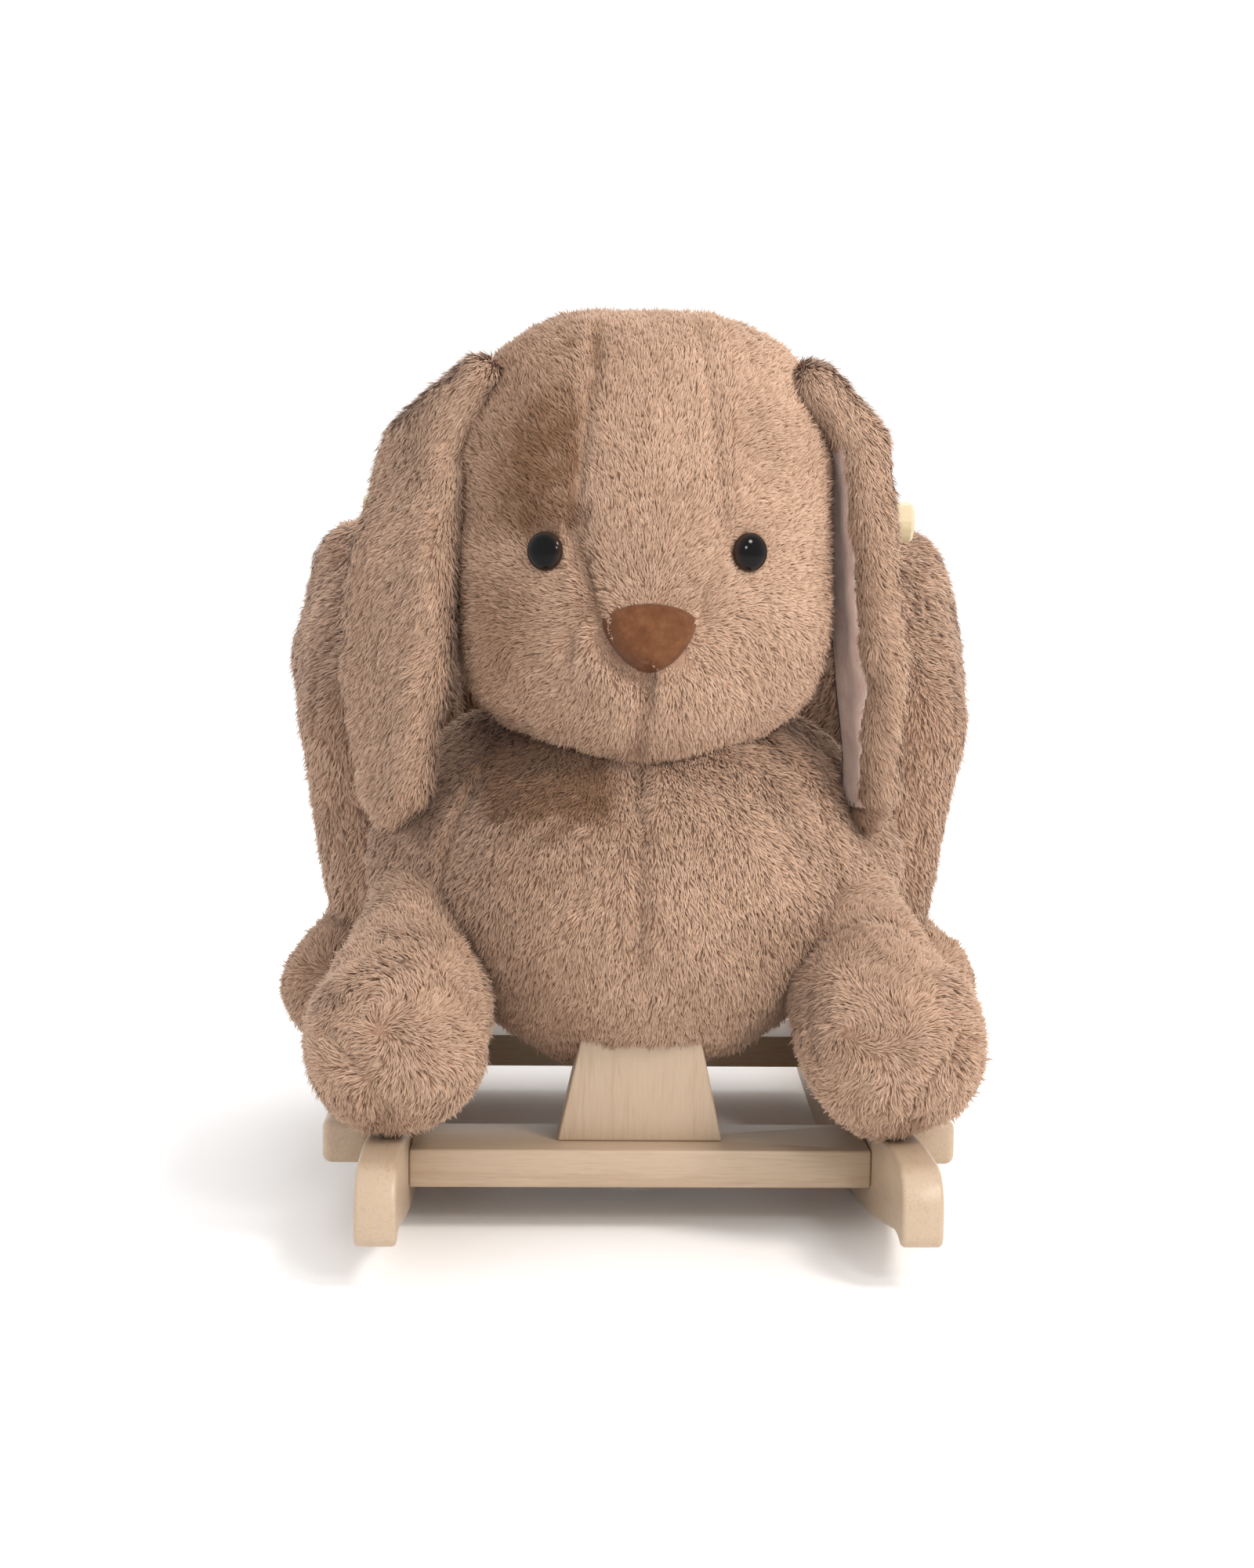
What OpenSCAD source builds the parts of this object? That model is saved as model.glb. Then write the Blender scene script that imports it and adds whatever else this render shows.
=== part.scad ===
// Plush rabbit rocker: a stuffed rabbit with an armchair seat, on a pair of wooden rockers.
// Frame: +X to the right when the rabbit is seen from the front, -Y the way the rabbit looks,
// +Z up, origin on the floor under the middle of the toy.
// "left" and "right" are the rider's, who faces -Y, so the right-hand pieces lie at -X.

/* [Rockers] */
// Length of each rocker over its end stops
rocker_length = 580; // [520:5:700]
// Thickness of the rocker boards
rocker_thick = 22; // [18:1:28]
// Clear width between the two rockers
rocker_gap = 263; // [215:1:320]
// Height of the rockers' top edge above the floor
rocker_top = 64; // [58:1:78]
// Radius of the rocking arc
rock_radius = 1000; // [840:10:1400]
// Length of the flat land that the toy stands on
land_length = 50; // [20:1:70]
// Height of the end stops above the floor
stop_lift = 26; // [21:1:31]

/* [Base boards] */
// Depth of each cross bar
bar_depth = 60; // [48:1:75]
// Height of each cross bar
bar_height = 22; // [18:1:27]
// Underside of the cross bars above the floor
bar_lift = 28; // [22:1:36]
// Distance between the middles of the two cross bars
bar_spread = 304; // [250:1:330]
// Thickness of the two tapered support boards
support_thick = 22; // [18:1:28]
// Width of a support board at its foot
support_foot_w = 95; // [78:1:115]
// Width of a support board at its top
support_top_w = 62; // [50:1:75]
// Underside of the seat board above the floor
seat_board_lift = 126; // [110:1:150]
// Thickness of the seat board
seat_board_thick = 18; // [12:1:24]
// Thickness of the plywood panels inside the seat
panel_thick = 12; // [9:1:16]
// Width of each footrest, from the rocker outwards
footrest_w = 28; // [20:1:40]
// Length of each footrest along the rocker
footrest_length = 112; // [80:1:140]
// Thickness of each footrest
footrest_thick = 26; // [18:1:30]

/* [Handle] */
// Diameter of the handle dowel
handle_d = 25; // [20:1:30]
// Length of the handle dowel
handle_length = 338; // [320:1:420]
// Height of the handle above the floor
handle_height = 409; // [385:1:430]
// Length of the grip at each end of the handle
grip_length = 58; // [48:1:60]
// Width of the post that carries the handle
post_w = 46; // [40:1:60]
// Depth of the post
post_depth = 56; // [48:1:70]

/* [Rabbit] */
// Width of the head without the ears
head_w = 224; // [185:1:265]
// Height of the top of the head above the floor
head_top = 531; // [500:1:560]
// Length of an ear below its seam
ear_length = 264; // [205:1:300]
// Width of an ear
ear_w = 84; // [70:1:100]
// Thickness of an ear
ear_thick = 27; // [22:1:32]
// Thickness of the ear lining
lining_thick = 4; // [3:0.5:6]
// Twist of the right ear about its length, in degrees
ear_twist_right = 46; // [0:1:50]
// Twist of the left ear about its length, in degrees
ear_twist_left = -10; // [-20:1:20]
// How far the right ear's tip swings outwards
ear_splay_right = 13; // [0:1:20]
// How far the left ear's tip swings outwards
ear_splay_left = 1; // [0:1:20]
// Diameter of the eyes
eye_d = 22; // [18:1:26]
// Width of the nose patch
nose_w = 50; // [42:1:60]
// Height of the nose patch
nose_h = 38; // [31:1:46]

/* [Seat] */
// Clear width between the side wings
seat_w = 250; // [205:1:300]
// Thickness of a side wing at its fullest
wing_thick = 104; // [86:1:125]
// Height of the seat cushion's top above the floor
seat_top = 236; // [210:1:260]
// Height of the backrest's top above the floor
back_top = 452; // [400:1:480]
// Distance from the middle of the toy to the back of the backrest
back_reach = 244; // [225:1:270]

/* [Hidden] */
RIGHT = -1;
LEFT = 1;
plush = "#b8957a";
timber = "#d9bf98";
plywood = "#c9a878";
steel = "#9a9a9c";
fit = 0.3;                 // clearance around a piece that is let into another
soft_gap = 0.6;            // clearance between two stuffed pieces
soft_fn = 22;

// Base, all from the rocker and bar sizes
rocker_mid = rocker_gap / 2 + rocker_thick / 2;
rocker_out = rocker_gap / 2 + rocker_thick;
bar_mid_y = bar_spread / 2;
bar_top = bar_lift + bar_height;
seat_board_top = seat_board_lift + seat_board_thick;
stop_r = 7;
notch_r = 50;
end_rise = 3;
end_r = 22;

// Seat
wing_mid = seat_w / 2 + wing_thick / 2;
wing_r = wing_thick / 2;
panel_x = seat_w / 2 + 20;
back_panel_y = back_reach - 42;
seat_front = 6;
board_side = panel_x + panel_thick + 4;
board_neck = 56;
board_front_y = -bar_mid_y - support_thick / 2;
board_rear_y = back_panel_y + panel_thick + 4;
board_wide_y = back_panel_y - 16;
board_step_y = 20;

// Head and handle
head_r = head_w / 2;
head_y = -85;
crown_z = head_top - head_r;
cheek_z = crown_z - 78;
muzzle_z = crown_z - 79;
handle_y = -38;
grip_chamfer = 2;
groove_deep = 1;
groove_out = handle_length / 2 - grip_chamfer - grip_length;
groove_in = groove_out - 3;
post_top = handle_height + 28;
hinge_r = 16;
hinge_x = 0.86 * head_r;
hinge_z = crown_z + 0.6 * head_r;
ear_out = 38;               // how far the hanging part of an ear lies outside its hinge line
ear_y = head_y - 15;
swing_gap = 4;             // clearance round an ear's root, for the ear to swing in

// Fasteners
screw_d = 5;
screw_head_d = 9.5;
screw_head_h = 3;
screw_fit = 0.1;

// ---- Base ---------------------------------------------------------------

function arc(c, r, from, to, steps) =
    [for (i = [0:steps]) let (a = from + (to - from) * i / steps) [c[0] + r * cos(a), c[1] + r * sin(a)]];

// Centre of the notch circle, which touches the rocking arc and the end stop's round from outside
function notch_centre(a, c) =
    let (d = norm(c - a), u = (c - a) / d,
         along = (pow(rock_radius + notch_r, 2) - pow(notch_r + stop_r, 2) + d * d) / (2 * d),
         off = sqrt(pow(rock_radius + notch_r, 2) - along * along))
    a + along * u + off * [u[1], -u[0]];

function angle_of(v) = atan2(v[1], v[0]);

// One half of a rocker's outline, from the middle of its foot round the end to its top edge
function rocker_half() =
    let (half = rocker_length / 2,
         a = [land_length / 2, rock_radius],
         c = [half - stop_r, stop_lift + stop_r],
         b = notch_centre(a, c),
         crest = half - 48,
         slope = 50,
         top = rocker_top + end_rise)
    concat(
        arc(a, rock_radius, 270, angle_of(b - a) + 360, 24),
        arc(b, notch_r, angle_of(a - b), angle_of(c - b), 8),
        arc(c, stop_r, angle_of(b - c) + 360, 360, 8),
        arc([half - end_r, top - end_r], end_r, 0, 90, 8),
        [for (i = [0:10]) [crest - slope * i / 10, rocker_top + end_rise * (1 + cos(18 * i)) / 2]]);

module rocker_outline() {
    half = rocker_half();
    n = len(half);
    polygon(concat(half, [for (i = [n - 1:-1:0]) [-half[i][0], half[i][1]]]));
}

// A wood screw along +Z, its head's face at the origin and its shank running down
module screw(length, grow = 0) {
    translate([0, 0, -screw_head_h])
        cylinder(d1 = screw_d + 2 * grow, d2 = screw_head_d + 2 * grow, h = screw_head_h, $fn = 32);
    translate([0, 0, -length - grow])
        cylinder(d = screw_d + 2 * grow, h = length - screw_head_h + grow, $fn = 32);
    if (grow > 0) cylinder(d = screw_head_d + 2 * grow, h = 1, $fn = 32);
}

rocker_screw_length = rocker_thick + 38;
module at_rocker_screws(side) {
    for (end = [-1, 1], k = [-1, 1])
        translate([side * rocker_out, end * bar_mid_y + k * bar_depth * 0.28, bar_lift + bar_height / 2])
            rotate([0, side * 90, 0]) children();
}

footrest_y = -bar_mid_y - bar_depth / 2 + footrest_length / 2 + 12;
module at_footrest_screws(side) {
    for (k = [-1, 1])
        translate([side * rocker_gap / 2, footrest_y + k * footrest_length * 0.3, rocker_top - footrest_thick / 2])
            rotate([0, -side * 90, 0]) children();
}

module rocker(side) color(timber) difference() {
    translate([side * rocker_mid - rocker_thick / 2, 0, 0])
        rotate([90, 0, 90]) linear_extrude(rocker_thick) rocker_outline();
    at_rocker_screws(side) screw(rocker_screw_length, screw_fit);
    at_footrest_screws(side) screw(rocker_thick + footrest_w * 0.7, screw_fit);
}

module at_support_screws(end) {
    for (k = [-1, 1])
        translate([k * support_foot_w * 0.25, end * bar_mid_y, bar_lift]) rotate([180, 0, 0]) children();
}

module cross_bar(end) color(timber) difference() {
    translate([-rocker_gap / 2 + fit / 3, end * bar_mid_y - bar_depth / 2, bar_lift])
        cube([rocker_gap - 2 * fit / 3, bar_depth, bar_height]);
    for (side = [RIGHT, LEFT]) at_rocker_screws(side) screw(rocker_screw_length, screw_fit);
    at_support_screws(end) screw(bar_height + 25, screw_fit);
}

module footrest(side) color(timber) difference() {
    translate([side * (rocker_out + fit / 3 + footrest_w / 2), footrest_y, rocker_top - footrest_thick / 2])
        rotate([0, 90, 0])
            linear_extrude(footrest_w, center = true)
                square([footrest_thick, footrest_length], center = true);
    at_footrest_screws(side) screw(rocker_thick + footrest_w * 0.7, screw_fit);
}

module at_seat_board_screws(end) {
    for (k = [-1, 1])
        translate([k * support_top_w * 0.27, end * bar_mid_y, seat_board_top]) children();
}

module support_board(end) color(timber) difference() {
    h = seat_board_lift - bar_top - 2 * fit / 3;
    translate([0, end * bar_mid_y + support_thick / 2, bar_top + fit / 3])
        rotate([90, 0, 0])
            linear_extrude(support_thick)
                polygon([[-support_foot_w / 2, 0], [support_foot_w / 2, 0],
                         [support_top_w / 2, h], [-support_top_w / 2, h]]);
    at_support_screws(end) screw(bar_height + 25, screw_fit);
    at_seat_board_screws(end) screw(seat_board_thick + 25, screw_fit);
}

// ---- Seat frame ---------------------------------------------------------

side_panel_y = [40, back_panel_y - 40];
side_panel_top = seat_top + 60;
back_panel_w = seat_w * 0.72;
back_panel_top = back_top - 60;

module at_panel_screws() {
    for (side = [RIGHT, LEFT], y = [side_panel_y[0] + 25, side_panel_y[1] - 25])
        translate([side * (panel_x + panel_thick / 2), y, seat_board_lift]) rotate([180, 0, 0]) children();
    for (k = [-1, 1])
        translate([k * back_panel_w * 0.35, back_panel_y + panel_thick / 2, seat_board_lift])
            rotate([180, 0, 0]) children();
    for (k = [-1, 1])
        translate([k * post_w * 0.26, handle_y, seat_board_lift]) rotate([180, 0, 0]) children();
}
panel_screw_length = seat_board_thick + 28;

module seat_board_shape(grow = 0) {
    translate([-board_side - grow, board_step_y - grow, seat_board_lift - grow])
        cube([2 * (board_side + grow), board_wide_y - board_step_y + 2 * grow, seat_board_thick + 2 * grow]);
    translate([-back_panel_w / 2 - 12 - grow, board_step_y, seat_board_lift - grow])
        cube([back_panel_w + 2 * (12 + grow), board_rear_y - board_step_y + grow, seat_board_thick + 2 * grow]);
    translate([-board_neck - grow, board_front_y - grow, seat_board_lift - grow])
        cube([2 * (board_neck + grow), board_step_y - board_front_y + 2 * grow, seat_board_thick + 2 * grow]);
}

module seat_board() color(plywood) difference() {
    seat_board_shape();
    for (end = [-1, 1]) at_seat_board_screws(end) screw(seat_board_thick + 25, screw_fit);
    at_panel_screws() screw(panel_screw_length, screw_fit);
}

module side_panel_shape(side, grow = 0) {
    translate([side * (panel_x + panel_thick / 2) - panel_thick / 2 - grow, side_panel_y[0] - grow,
               seat_board_top + fit / 3])
        cube([panel_thick + 2 * grow, side_panel_y[1] - side_panel_y[0] + 2 * grow,
              side_panel_top - seat_board_top + grow]);
}

module side_panel(side) color(plywood) difference() {
    side_panel_shape(side);
    at_panel_screws() screw(panel_screw_length, screw_fit);
}

module back_panel_shape(grow = 0) {
    translate([-back_panel_w / 2 - grow, back_panel_y - grow, seat_board_top + fit / 3])
        cube([back_panel_w + 2 * grow, panel_thick + 2 * grow, back_panel_top - seat_board_top + grow]);
}

module back_panel() color(plywood) difference() {
    back_panel_shape();
    at_panel_screws() screw(panel_screw_length, screw_fit);
}

module post_shape(grow = 0) {
    translate([-post_w / 2 - grow, handle_y - post_depth / 2 - grow, seat_board_top + fit / 3])
        cube([post_w + 2 * grow, post_depth + 2 * grow, post_top - seat_board_top + grow]);
}

module handle_shape(grow = 0) {
    translate([0, handle_y, handle_height]) rotate([0, 90, 0])
        cylinder(d = handle_d + 2 * grow, h = handle_length, center = true, $fn = 64);
}

module at_handle_screw() {
    translate([0, handle_y + post_depth / 2, handle_height]) rotate([-90, 0, 0]) children();
}
handle_screw_length = post_depth / 2 + handle_d * 0.2;

module head_post() color(timber) difference() {
    post_shape();
    handle_shape(0.05);
    at_handle_screw() screw(handle_screw_length, screw_fit);
    at_panel_screws() screw(panel_screw_length, screw_fit);
}

// A dowel with chamfered ends. The cover's drawstring is tied into a groove beside each grip.
module handle() color(timber) difference() {
    translate([0, handle_y, handle_height]) rotate([0, 90, 0])
        rotate_extrude($fn = 64) polygon(concat(
            [[0, -handle_length / 2], [handle_d / 2 - 1.5, -handle_length / 2]],
            [[handle_d / 2, -handle_length / 2 + grip_chamfer], [handle_d / 2, -groove_out]],
            [[handle_d / 2 - groove_deep, -groove_out], [handle_d / 2 - groove_deep, -groove_in]],
            [[handle_d / 2, -groove_in], [handle_d / 2, groove_in]],
            [[handle_d / 2 - groove_deep, groove_in], [handle_d / 2 - groove_deep, groove_out]],
            [[handle_d / 2, groove_out], [handle_d / 2, handle_length / 2 - grip_chamfer]],
            [[handle_d / 2 - 1.5, handle_length / 2], [0, handle_length / 2]]));
    at_handle_screw() screw(handle_screw_length, screw_fit);
}

// ---- Stuffed forms ------------------------------------------------------

module ball(at, r) { translate(at) sphere(r = r, $fn = soft_fn); }

module head_form(grow = 0) hull() {
    for (side = [-1, 1]) {
        ball([side * head_r * 0.24, head_y + 4, head_top - head_r * 0.79], head_r * 0.79 + grow);
        ball([side * head_r * 0.35, head_y - 16, cheek_z + 2], head_r * 0.66 + grow);
    }
    ball([0, head_y - 42, muzzle_z - 13], head_r * 0.607 + grow);
    ball([0, head_y - 2, crown_z - 40], head_r * 0.98 + grow);
}

// The flanks and shoulders follow the seat's width
belly_r = 109;
flank_x = seat_w / 2 - 19;
module torso_form(grow = 0) hull() {
    for (side = [-1, 1]) {
        ball([side * 14, -94, seat_board_lift + 63], belly_r - 1.5 + grow);
        ball([side * flank_x, -42, seat_board_lift + 70], belly_r * 0.57 + grow);
        ball([side * (flank_x - 22), -45, seat_board_lift + 112], belly_r * 0.52 + grow);
    }
    ball([0, -96, seat_board_lift + 64], belly_r + grow);
    ball([0, -66, seat_board_lift + 124], belly_r * 0.8 + grow);
    ball([0, -22, seat_board_lift + 64], belly_r * 0.68 + grow);
}

// A foreleg runs from inside the flank to a paw on the raised end of its rocker
shoulder_at = [seat_w / 2 - 17, -56];
paw_at = [rocker_mid - 5, -(rocker_length / 2 - 84)];
elbow_at = shoulder_at + [0.68 * (paw_at[0] - shoulder_at[0]), 0.45 * (paw_at[1] - shoulder_at[1])];
module foreleg_form(side, grow = 0) {
    hull() {
        ball([side * shoulder_at[0], shoulder_at[1], seat_board_lift + 56], 46 + grow);
        ball([side * elbow_at[0], elbow_at[1], rocker_top + 78], 46 + grow);
    }
    hull() {
        ball([side * elbow_at[0], elbow_at[1], rocker_top + 78], 46 + grow);
        ball([side * paw_at[0], paw_at[1], rocker_top + 53], 51 + grow);
    }
}

hind_x = wing_mid + 5;
module hind_foot_form(side, grow = 0) hull() {
    ball([side * hind_x, -6, rocker_top + 46], 43 + grow);
    ball([side * (hind_x - 10), 74, rocker_top + 58], 39 + grow);
}

module wing_form(side, grow = 0) hull() {
    ball([side * (wing_mid - 6), 124, back_top - 87], wing_r * 0.98 + grow);
    ball([side * wing_mid, 104, seat_top + 84], wing_r + grow);
    ball([side * (wing_mid - 4), 4, seat_top + 44], wing_r * 0.82 + grow);
    ball([side * (wing_mid - 27), 150, seat_board_lift + 33], wing_r * 0.965 + grow);
    ball([side * (wing_mid - 23), 18, seat_board_lift + 30], wing_r * 0.83 + grow);
}

module backrest_form(grow = 0) hull() {
    r = 42;
    for (side = [-1, 1]) {
        ball([side * seat_w * 0.42, back_reach - r, back_top - 58], r + grow);
        ball([side * seat_w * 0.4, back_reach - r - 7, seat_board_top + 12], r - 3 + grow);
    }
    ball([0, back_reach - r - 1.5, back_top - r], r - 0.5 + grow);
}

module cushion_form(grow = 0) hull() {
    r = 30;
    for (side = [-1, 1]) {
        ball([side * (seat_w / 2 - r + 6), seat_front + r, seat_top - r], r + grow);
        ball([side * (seat_w / 2 - r + 5.4), back_panel_y - 40.6, seat_top - r - 0.5], r - 0.4 + grow);
        ball([side * (seat_w / 2 - r + 4.7), seat_front + r + 1.3, seat_board_lift + 14.6], r - 1.2 + grow);
        ball([side * (seat_w / 2 - r + 4.1), back_panel_y - 41.9, seat_board_lift + 15.3], r - 1.7 + grow);
    }
}

tail_r = 36;
tail_seam = back_reach - 6.8; // the tail is sewn flat against the backrest here

// The wooden frame and its screws, as the hollow that the stuffed pieces leave for them
module frame_hollow() {
    seat_board_shape(fit);
    for (side = [RIGHT, LEFT]) side_panel_shape(side, fit);
    back_panel_shape(fit);
    post_shape(fit);
    handle_shape(fit);
    for (end = [-1, 1]) {
        translate([-support_foot_w / 2 - fit, end * bar_mid_y - support_thick / 2 - fit, 0])
            cube([support_foot_w + 2 * fit, support_thick + 2 * fit, seat_board_lift]);
    }
    at_panel_screws() translate([0, 0, -1]) cylinder(d = screw_head_d + 1, h = 3, $fn = 24);
    at_handle_screw() translate([0, 0, -1]) cylinder(d = screw_head_d + 1, h = 3, $fn = 24);
}

// ---- Ears ---------------------------------------------------------------

// An ear hangs down from its hinge line. Its flat inner side carries the lining.
module ear_blank(side, twist, splay, grow = 0) {
    t = ear_thick / 2;
    translate([side * (hinge_x + ear_out), ear_y, hinge_z])
        rotate([0, 0, -side * twist])
            hull() {
                tip = side * (2 + splay);
                for (k = [-1, 1]) {
                    ball([-side * 12, k * (ear_w * 0.28 - t * 0.4), -34], t + 2.5 + grow);
                    ball([tip, k * (ear_w / 2 - t), -ear_length * 0.64], t + grow);
                    ball([tip, k * (ear_w * 0.25 - t * 0.5), -ear_length + t * 2], t + grow);
                }
                ball([tip, 0, -ear_length + t], t + grow);
            }
}

module ear_root(grow = 0) {
    rotate([90, 0, 0]) cylinder(r = hinge_r + grow, h = ear_w * 0.72 + 2 * grow, center = true, $fn = 48);
}

module at_hinge(side) { translate([side * hinge_x, ear_y, hinge_z]) children(); }

// The half of space on the lining's side of an ear
module inner_half(side, twist, splay, shift) {
    big = 400;
    translate([side * (hinge_x + ear_out), ear_y, hinge_z])
        rotate([0, 0, -side * twist])
            translate([side * (2 + splay), 0, -ear_length * 0.64])
                rotate([0, side * atan((splay + 12) / (ear_length * 0.64 - 30)) * -1, 0])
                    translate([-side * (big / 2 + ear_thick / 2 - lining_thick - shift), 0, 18])
                        cube([big, big, ear_length], center = true);
}

module ear(side, twist, splay) color(plush) {
    difference() {
        union() {
            hull() { at_hinge(side) ear_root(); }
            hull() {
                at_hinge(side) ear_root();
                translate([side * (hinge_x + ear_out), ear_y, hinge_z])
                    rotate([0, 0, -side * twist]) for (k = [-1, 1])
                        ball([-side * 12, k * (ear_w * 0.28 - ear_thick * 0.2), -33], ear_thick / 2 + 2.2);
            }
            ear_blank(side, twist, splay);
        }
        difference() {
            head_form(soft_gap);
            at_hinge(side) ear_root(0.01);
        }
        inner_half(side, twist, splay, 0.15);
    }
}

module ear_lining(side, twist, splay) color("#c9b3a6") {
    difference() {
        intersection() {
            ear_blank(side, twist, splay, -0.8);
            inner_half(side, twist, splay, -0.15);
        }
        head_form(soft_gap);
    }
}

// ---- Face ---------------------------------------------------------------

eye_x = 0.52 * head_r;
eye_z = crown_z - 32;
eye_y = head_y - 0.805 * head_r;
eye_turn = 27;
eye_shank_d = 5;
eye_shank = 16;
washer_d = 24;

module at_eye(side) { translate([side * eye_x, eye_y, eye_z]) rotate([90, 0, side * eye_turn]) children(); }

module eye_shape(grow = 0) {
    dome = eye_d / 2;
    intersection() {
        translate([0, 0, -dome * 0.25]) sphere(r = dome * 1.02 + grow, $fn = 48);
        translate([0, 0, dome * 0.5]) cube([3 * dome, 3 * dome, dome + 2 * grow], center = true);
    }
    translate([0, 0, -eye_shank]) cylinder(d = eye_shank_d + 2 * grow, h = eye_shank, $fn = 32);
}

module eye(side) color("#15100e") at_eye(side) eye_shape();

module eye_washer(side, grow = 0) {
    at_eye(side) translate([0, 0, -eye_shank + 4]) difference() {
        cylinder(d = washer_d + 2 * grow, h = 2.5 + grow, $fn = 32);
        if (grow == 0) translate([0, 0, -1]) cylinder(d = eye_shank_d + 0.2, h = 6, $fn = 32);
    }
}

nose_z = muzzle_z;
module nose_outline() {
    r = 9;
    offset(r = r) polygon([[-nose_w / 2 + r, nose_h / 2 - r - 2], [0, nose_h / 2 - r], [nose_w / 2 - r, nose_h / 2 - r - 2],
                           [nose_w * 0.12, -nose_h / 2 + r], [-nose_w * 0.12, -nose_h / 2 + r]]);
}

module nose_patch() color("#8a5632") {
    difference() {
        intersection() {
            head_form(2.2);
            translate([0, head_y, nose_z]) rotate([90, 0, 0]) linear_extrude(2 * head_r) nose_outline();
        }
        head_form(0.2);
    }
}

// ---- Stuffed pieces -----------------------------------------------------

module head() color(plush) difference() {
    head_form();
    frame_hollow();
    for (side = [RIGHT, LEFT]) {
        at_hinge(side) ear_root(swing_gap);
        at_eye(side) eye_shape(fit);
        eye_washer(side, fit);
        at_eye(side) translate([0, 0, -eye_shank - fit]) cylinder(d = eye_shank_d + 2 * fit, h = eye_shank, $fn = 32);
    }
}

module torso() color(plush) difference() {
    torso_form();
    head_form(soft_gap);
    frame_hollow();
    for (side = [RIGHT, LEFT]) wing_form(side, soft_gap);
    ear_blank(RIGHT, ear_twist_right, ear_splay_right, soft_gap);
    ear_blank(LEFT, ear_twist_left, ear_splay_left, soft_gap);
}

module foreleg(side) color(plush) difference() {
    foreleg_form(side);
    torso_form(soft_gap);
    wing_form(side, soft_gap);
    frame_hollow();
}

module hind_foot(side) color(plush) difference() {
    hind_foot_form(side);
    wing_form(side, soft_gap);
    seat_board_shape(fit);
}

module wing(side) color(plush) difference() {
    wing_form(side);
    frame_hollow();
}

module backrest() color(plush) difference() {
    backrest_form();
    for (side = [RIGHT, LEFT]) wing_form(side, soft_gap);
    frame_hollow();
}

module seat_cushion() color(plush) difference() {
    cushion_form();
    for (side = [RIGHT, LEFT]) wing_form(side, soft_gap);
    backrest_form(soft_gap);
    torso_form(soft_gap);
    frame_hollow();
}

module tail() color(plush) difference() {
    translate([0, back_reach + tail_r * 0.4, seat_board_top + 40]) sphere(r = tail_r, $fn = 32);
    translate([-tail_r - 1, tail_seam - 2 * tail_r, seat_board_top])
        cube([2 * tail_r + 2, 2 * tail_r, 2 * tail_r + 10]);
}

rocker(RIGHT);  // rocker_right
rocker(LEFT);  // rocker_left
cross_bar(-1);  // front_cross_bar
cross_bar(1);  // rear_cross_bar
support_board(-1);  // front_support_board
support_board(1);  // rear_support_board
footrest(RIGHT);  // footrest_right
footrest(LEFT);  // footrest_left
seat_board();
side_panel(RIGHT);  // side_panel_right
side_panel(LEFT);  // side_panel_left
back_panel();
head_post();
handle();
color(steel) at_handle_screw() screw(handle_screw_length);  // handle_screw
color(steel) for (side = [RIGHT, LEFT]) at_rocker_screws(side) screw(rocker_screw_length);  // rocker_screws
color(steel) for (side = [RIGHT, LEFT]) at_footrest_screws(side) screw(rocker_thick + footrest_w * 0.7);  // footrest_screws
color(steel) for (end = [-1, 1]) at_support_screws(end) screw(bar_height + 25);  // support_screws
color(steel) for (end = [-1, 1]) at_seat_board_screws(end) screw(seat_board_thick + 25);  // seat_board_screws
color(steel) at_panel_screws() screw(panel_screw_length);  // panel_screws
torso();
head();
nose_patch();
eye(RIGHT);  // eye_right
eye(LEFT);  // eye_left
color("white") for (side = [RIGHT, LEFT]) eye_washer(side);  // eye_washers
ear(RIGHT, ear_twist_right, ear_splay_right);  // ear_right
ear(LEFT, ear_twist_left, ear_splay_left);  // ear_left
ear_lining(RIGHT, ear_twist_right, ear_splay_right);  // ear_lining_right
ear_lining(LEFT, ear_twist_left, ear_splay_left);  // ear_lining_left
foreleg(RIGHT);  // foreleg_right
foreleg(LEFT);  // foreleg_left
hind_foot(RIGHT);  // hind_foot_right
hind_foot(LEFT);  // hind_foot_left
wing(RIGHT);  // wing_right
wing(LEFT);  // wing_left
backrest();
seat_cushion();
tail();
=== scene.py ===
import math

import bmesh
import bpy
import numpy as np
from mathutils import Matrix, Vector
from mathutils.bvhtree import BVHTree
from mathutils.kdtree import KDTree


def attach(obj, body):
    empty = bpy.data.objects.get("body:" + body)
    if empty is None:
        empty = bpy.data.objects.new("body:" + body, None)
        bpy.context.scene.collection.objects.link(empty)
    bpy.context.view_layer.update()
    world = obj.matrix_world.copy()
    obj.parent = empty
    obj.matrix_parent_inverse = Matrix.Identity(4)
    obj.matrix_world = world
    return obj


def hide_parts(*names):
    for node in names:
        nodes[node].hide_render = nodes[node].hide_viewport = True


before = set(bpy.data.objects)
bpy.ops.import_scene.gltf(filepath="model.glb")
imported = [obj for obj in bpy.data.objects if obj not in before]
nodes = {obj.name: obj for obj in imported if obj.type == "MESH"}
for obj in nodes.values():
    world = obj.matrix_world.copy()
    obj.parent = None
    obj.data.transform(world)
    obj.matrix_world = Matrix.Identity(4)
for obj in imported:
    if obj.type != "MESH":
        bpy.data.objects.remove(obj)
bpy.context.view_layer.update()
MM = 0.001
BODY = "rocker"

# ---- Camera ----------------------------------------------------------------------------------
# A 50 mm lens at the height of the rabbit's eyes, a little to its right and turned
# slightly down, as someone kneeling in front of the toy would see it.


def add(name, data):
    """Makes an object, untransformed, and puts it in the scene."""
    made = bpy.data.objects.new(name, data)
    bpy.context.scene.collection.objects.link(made)
    return made


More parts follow.
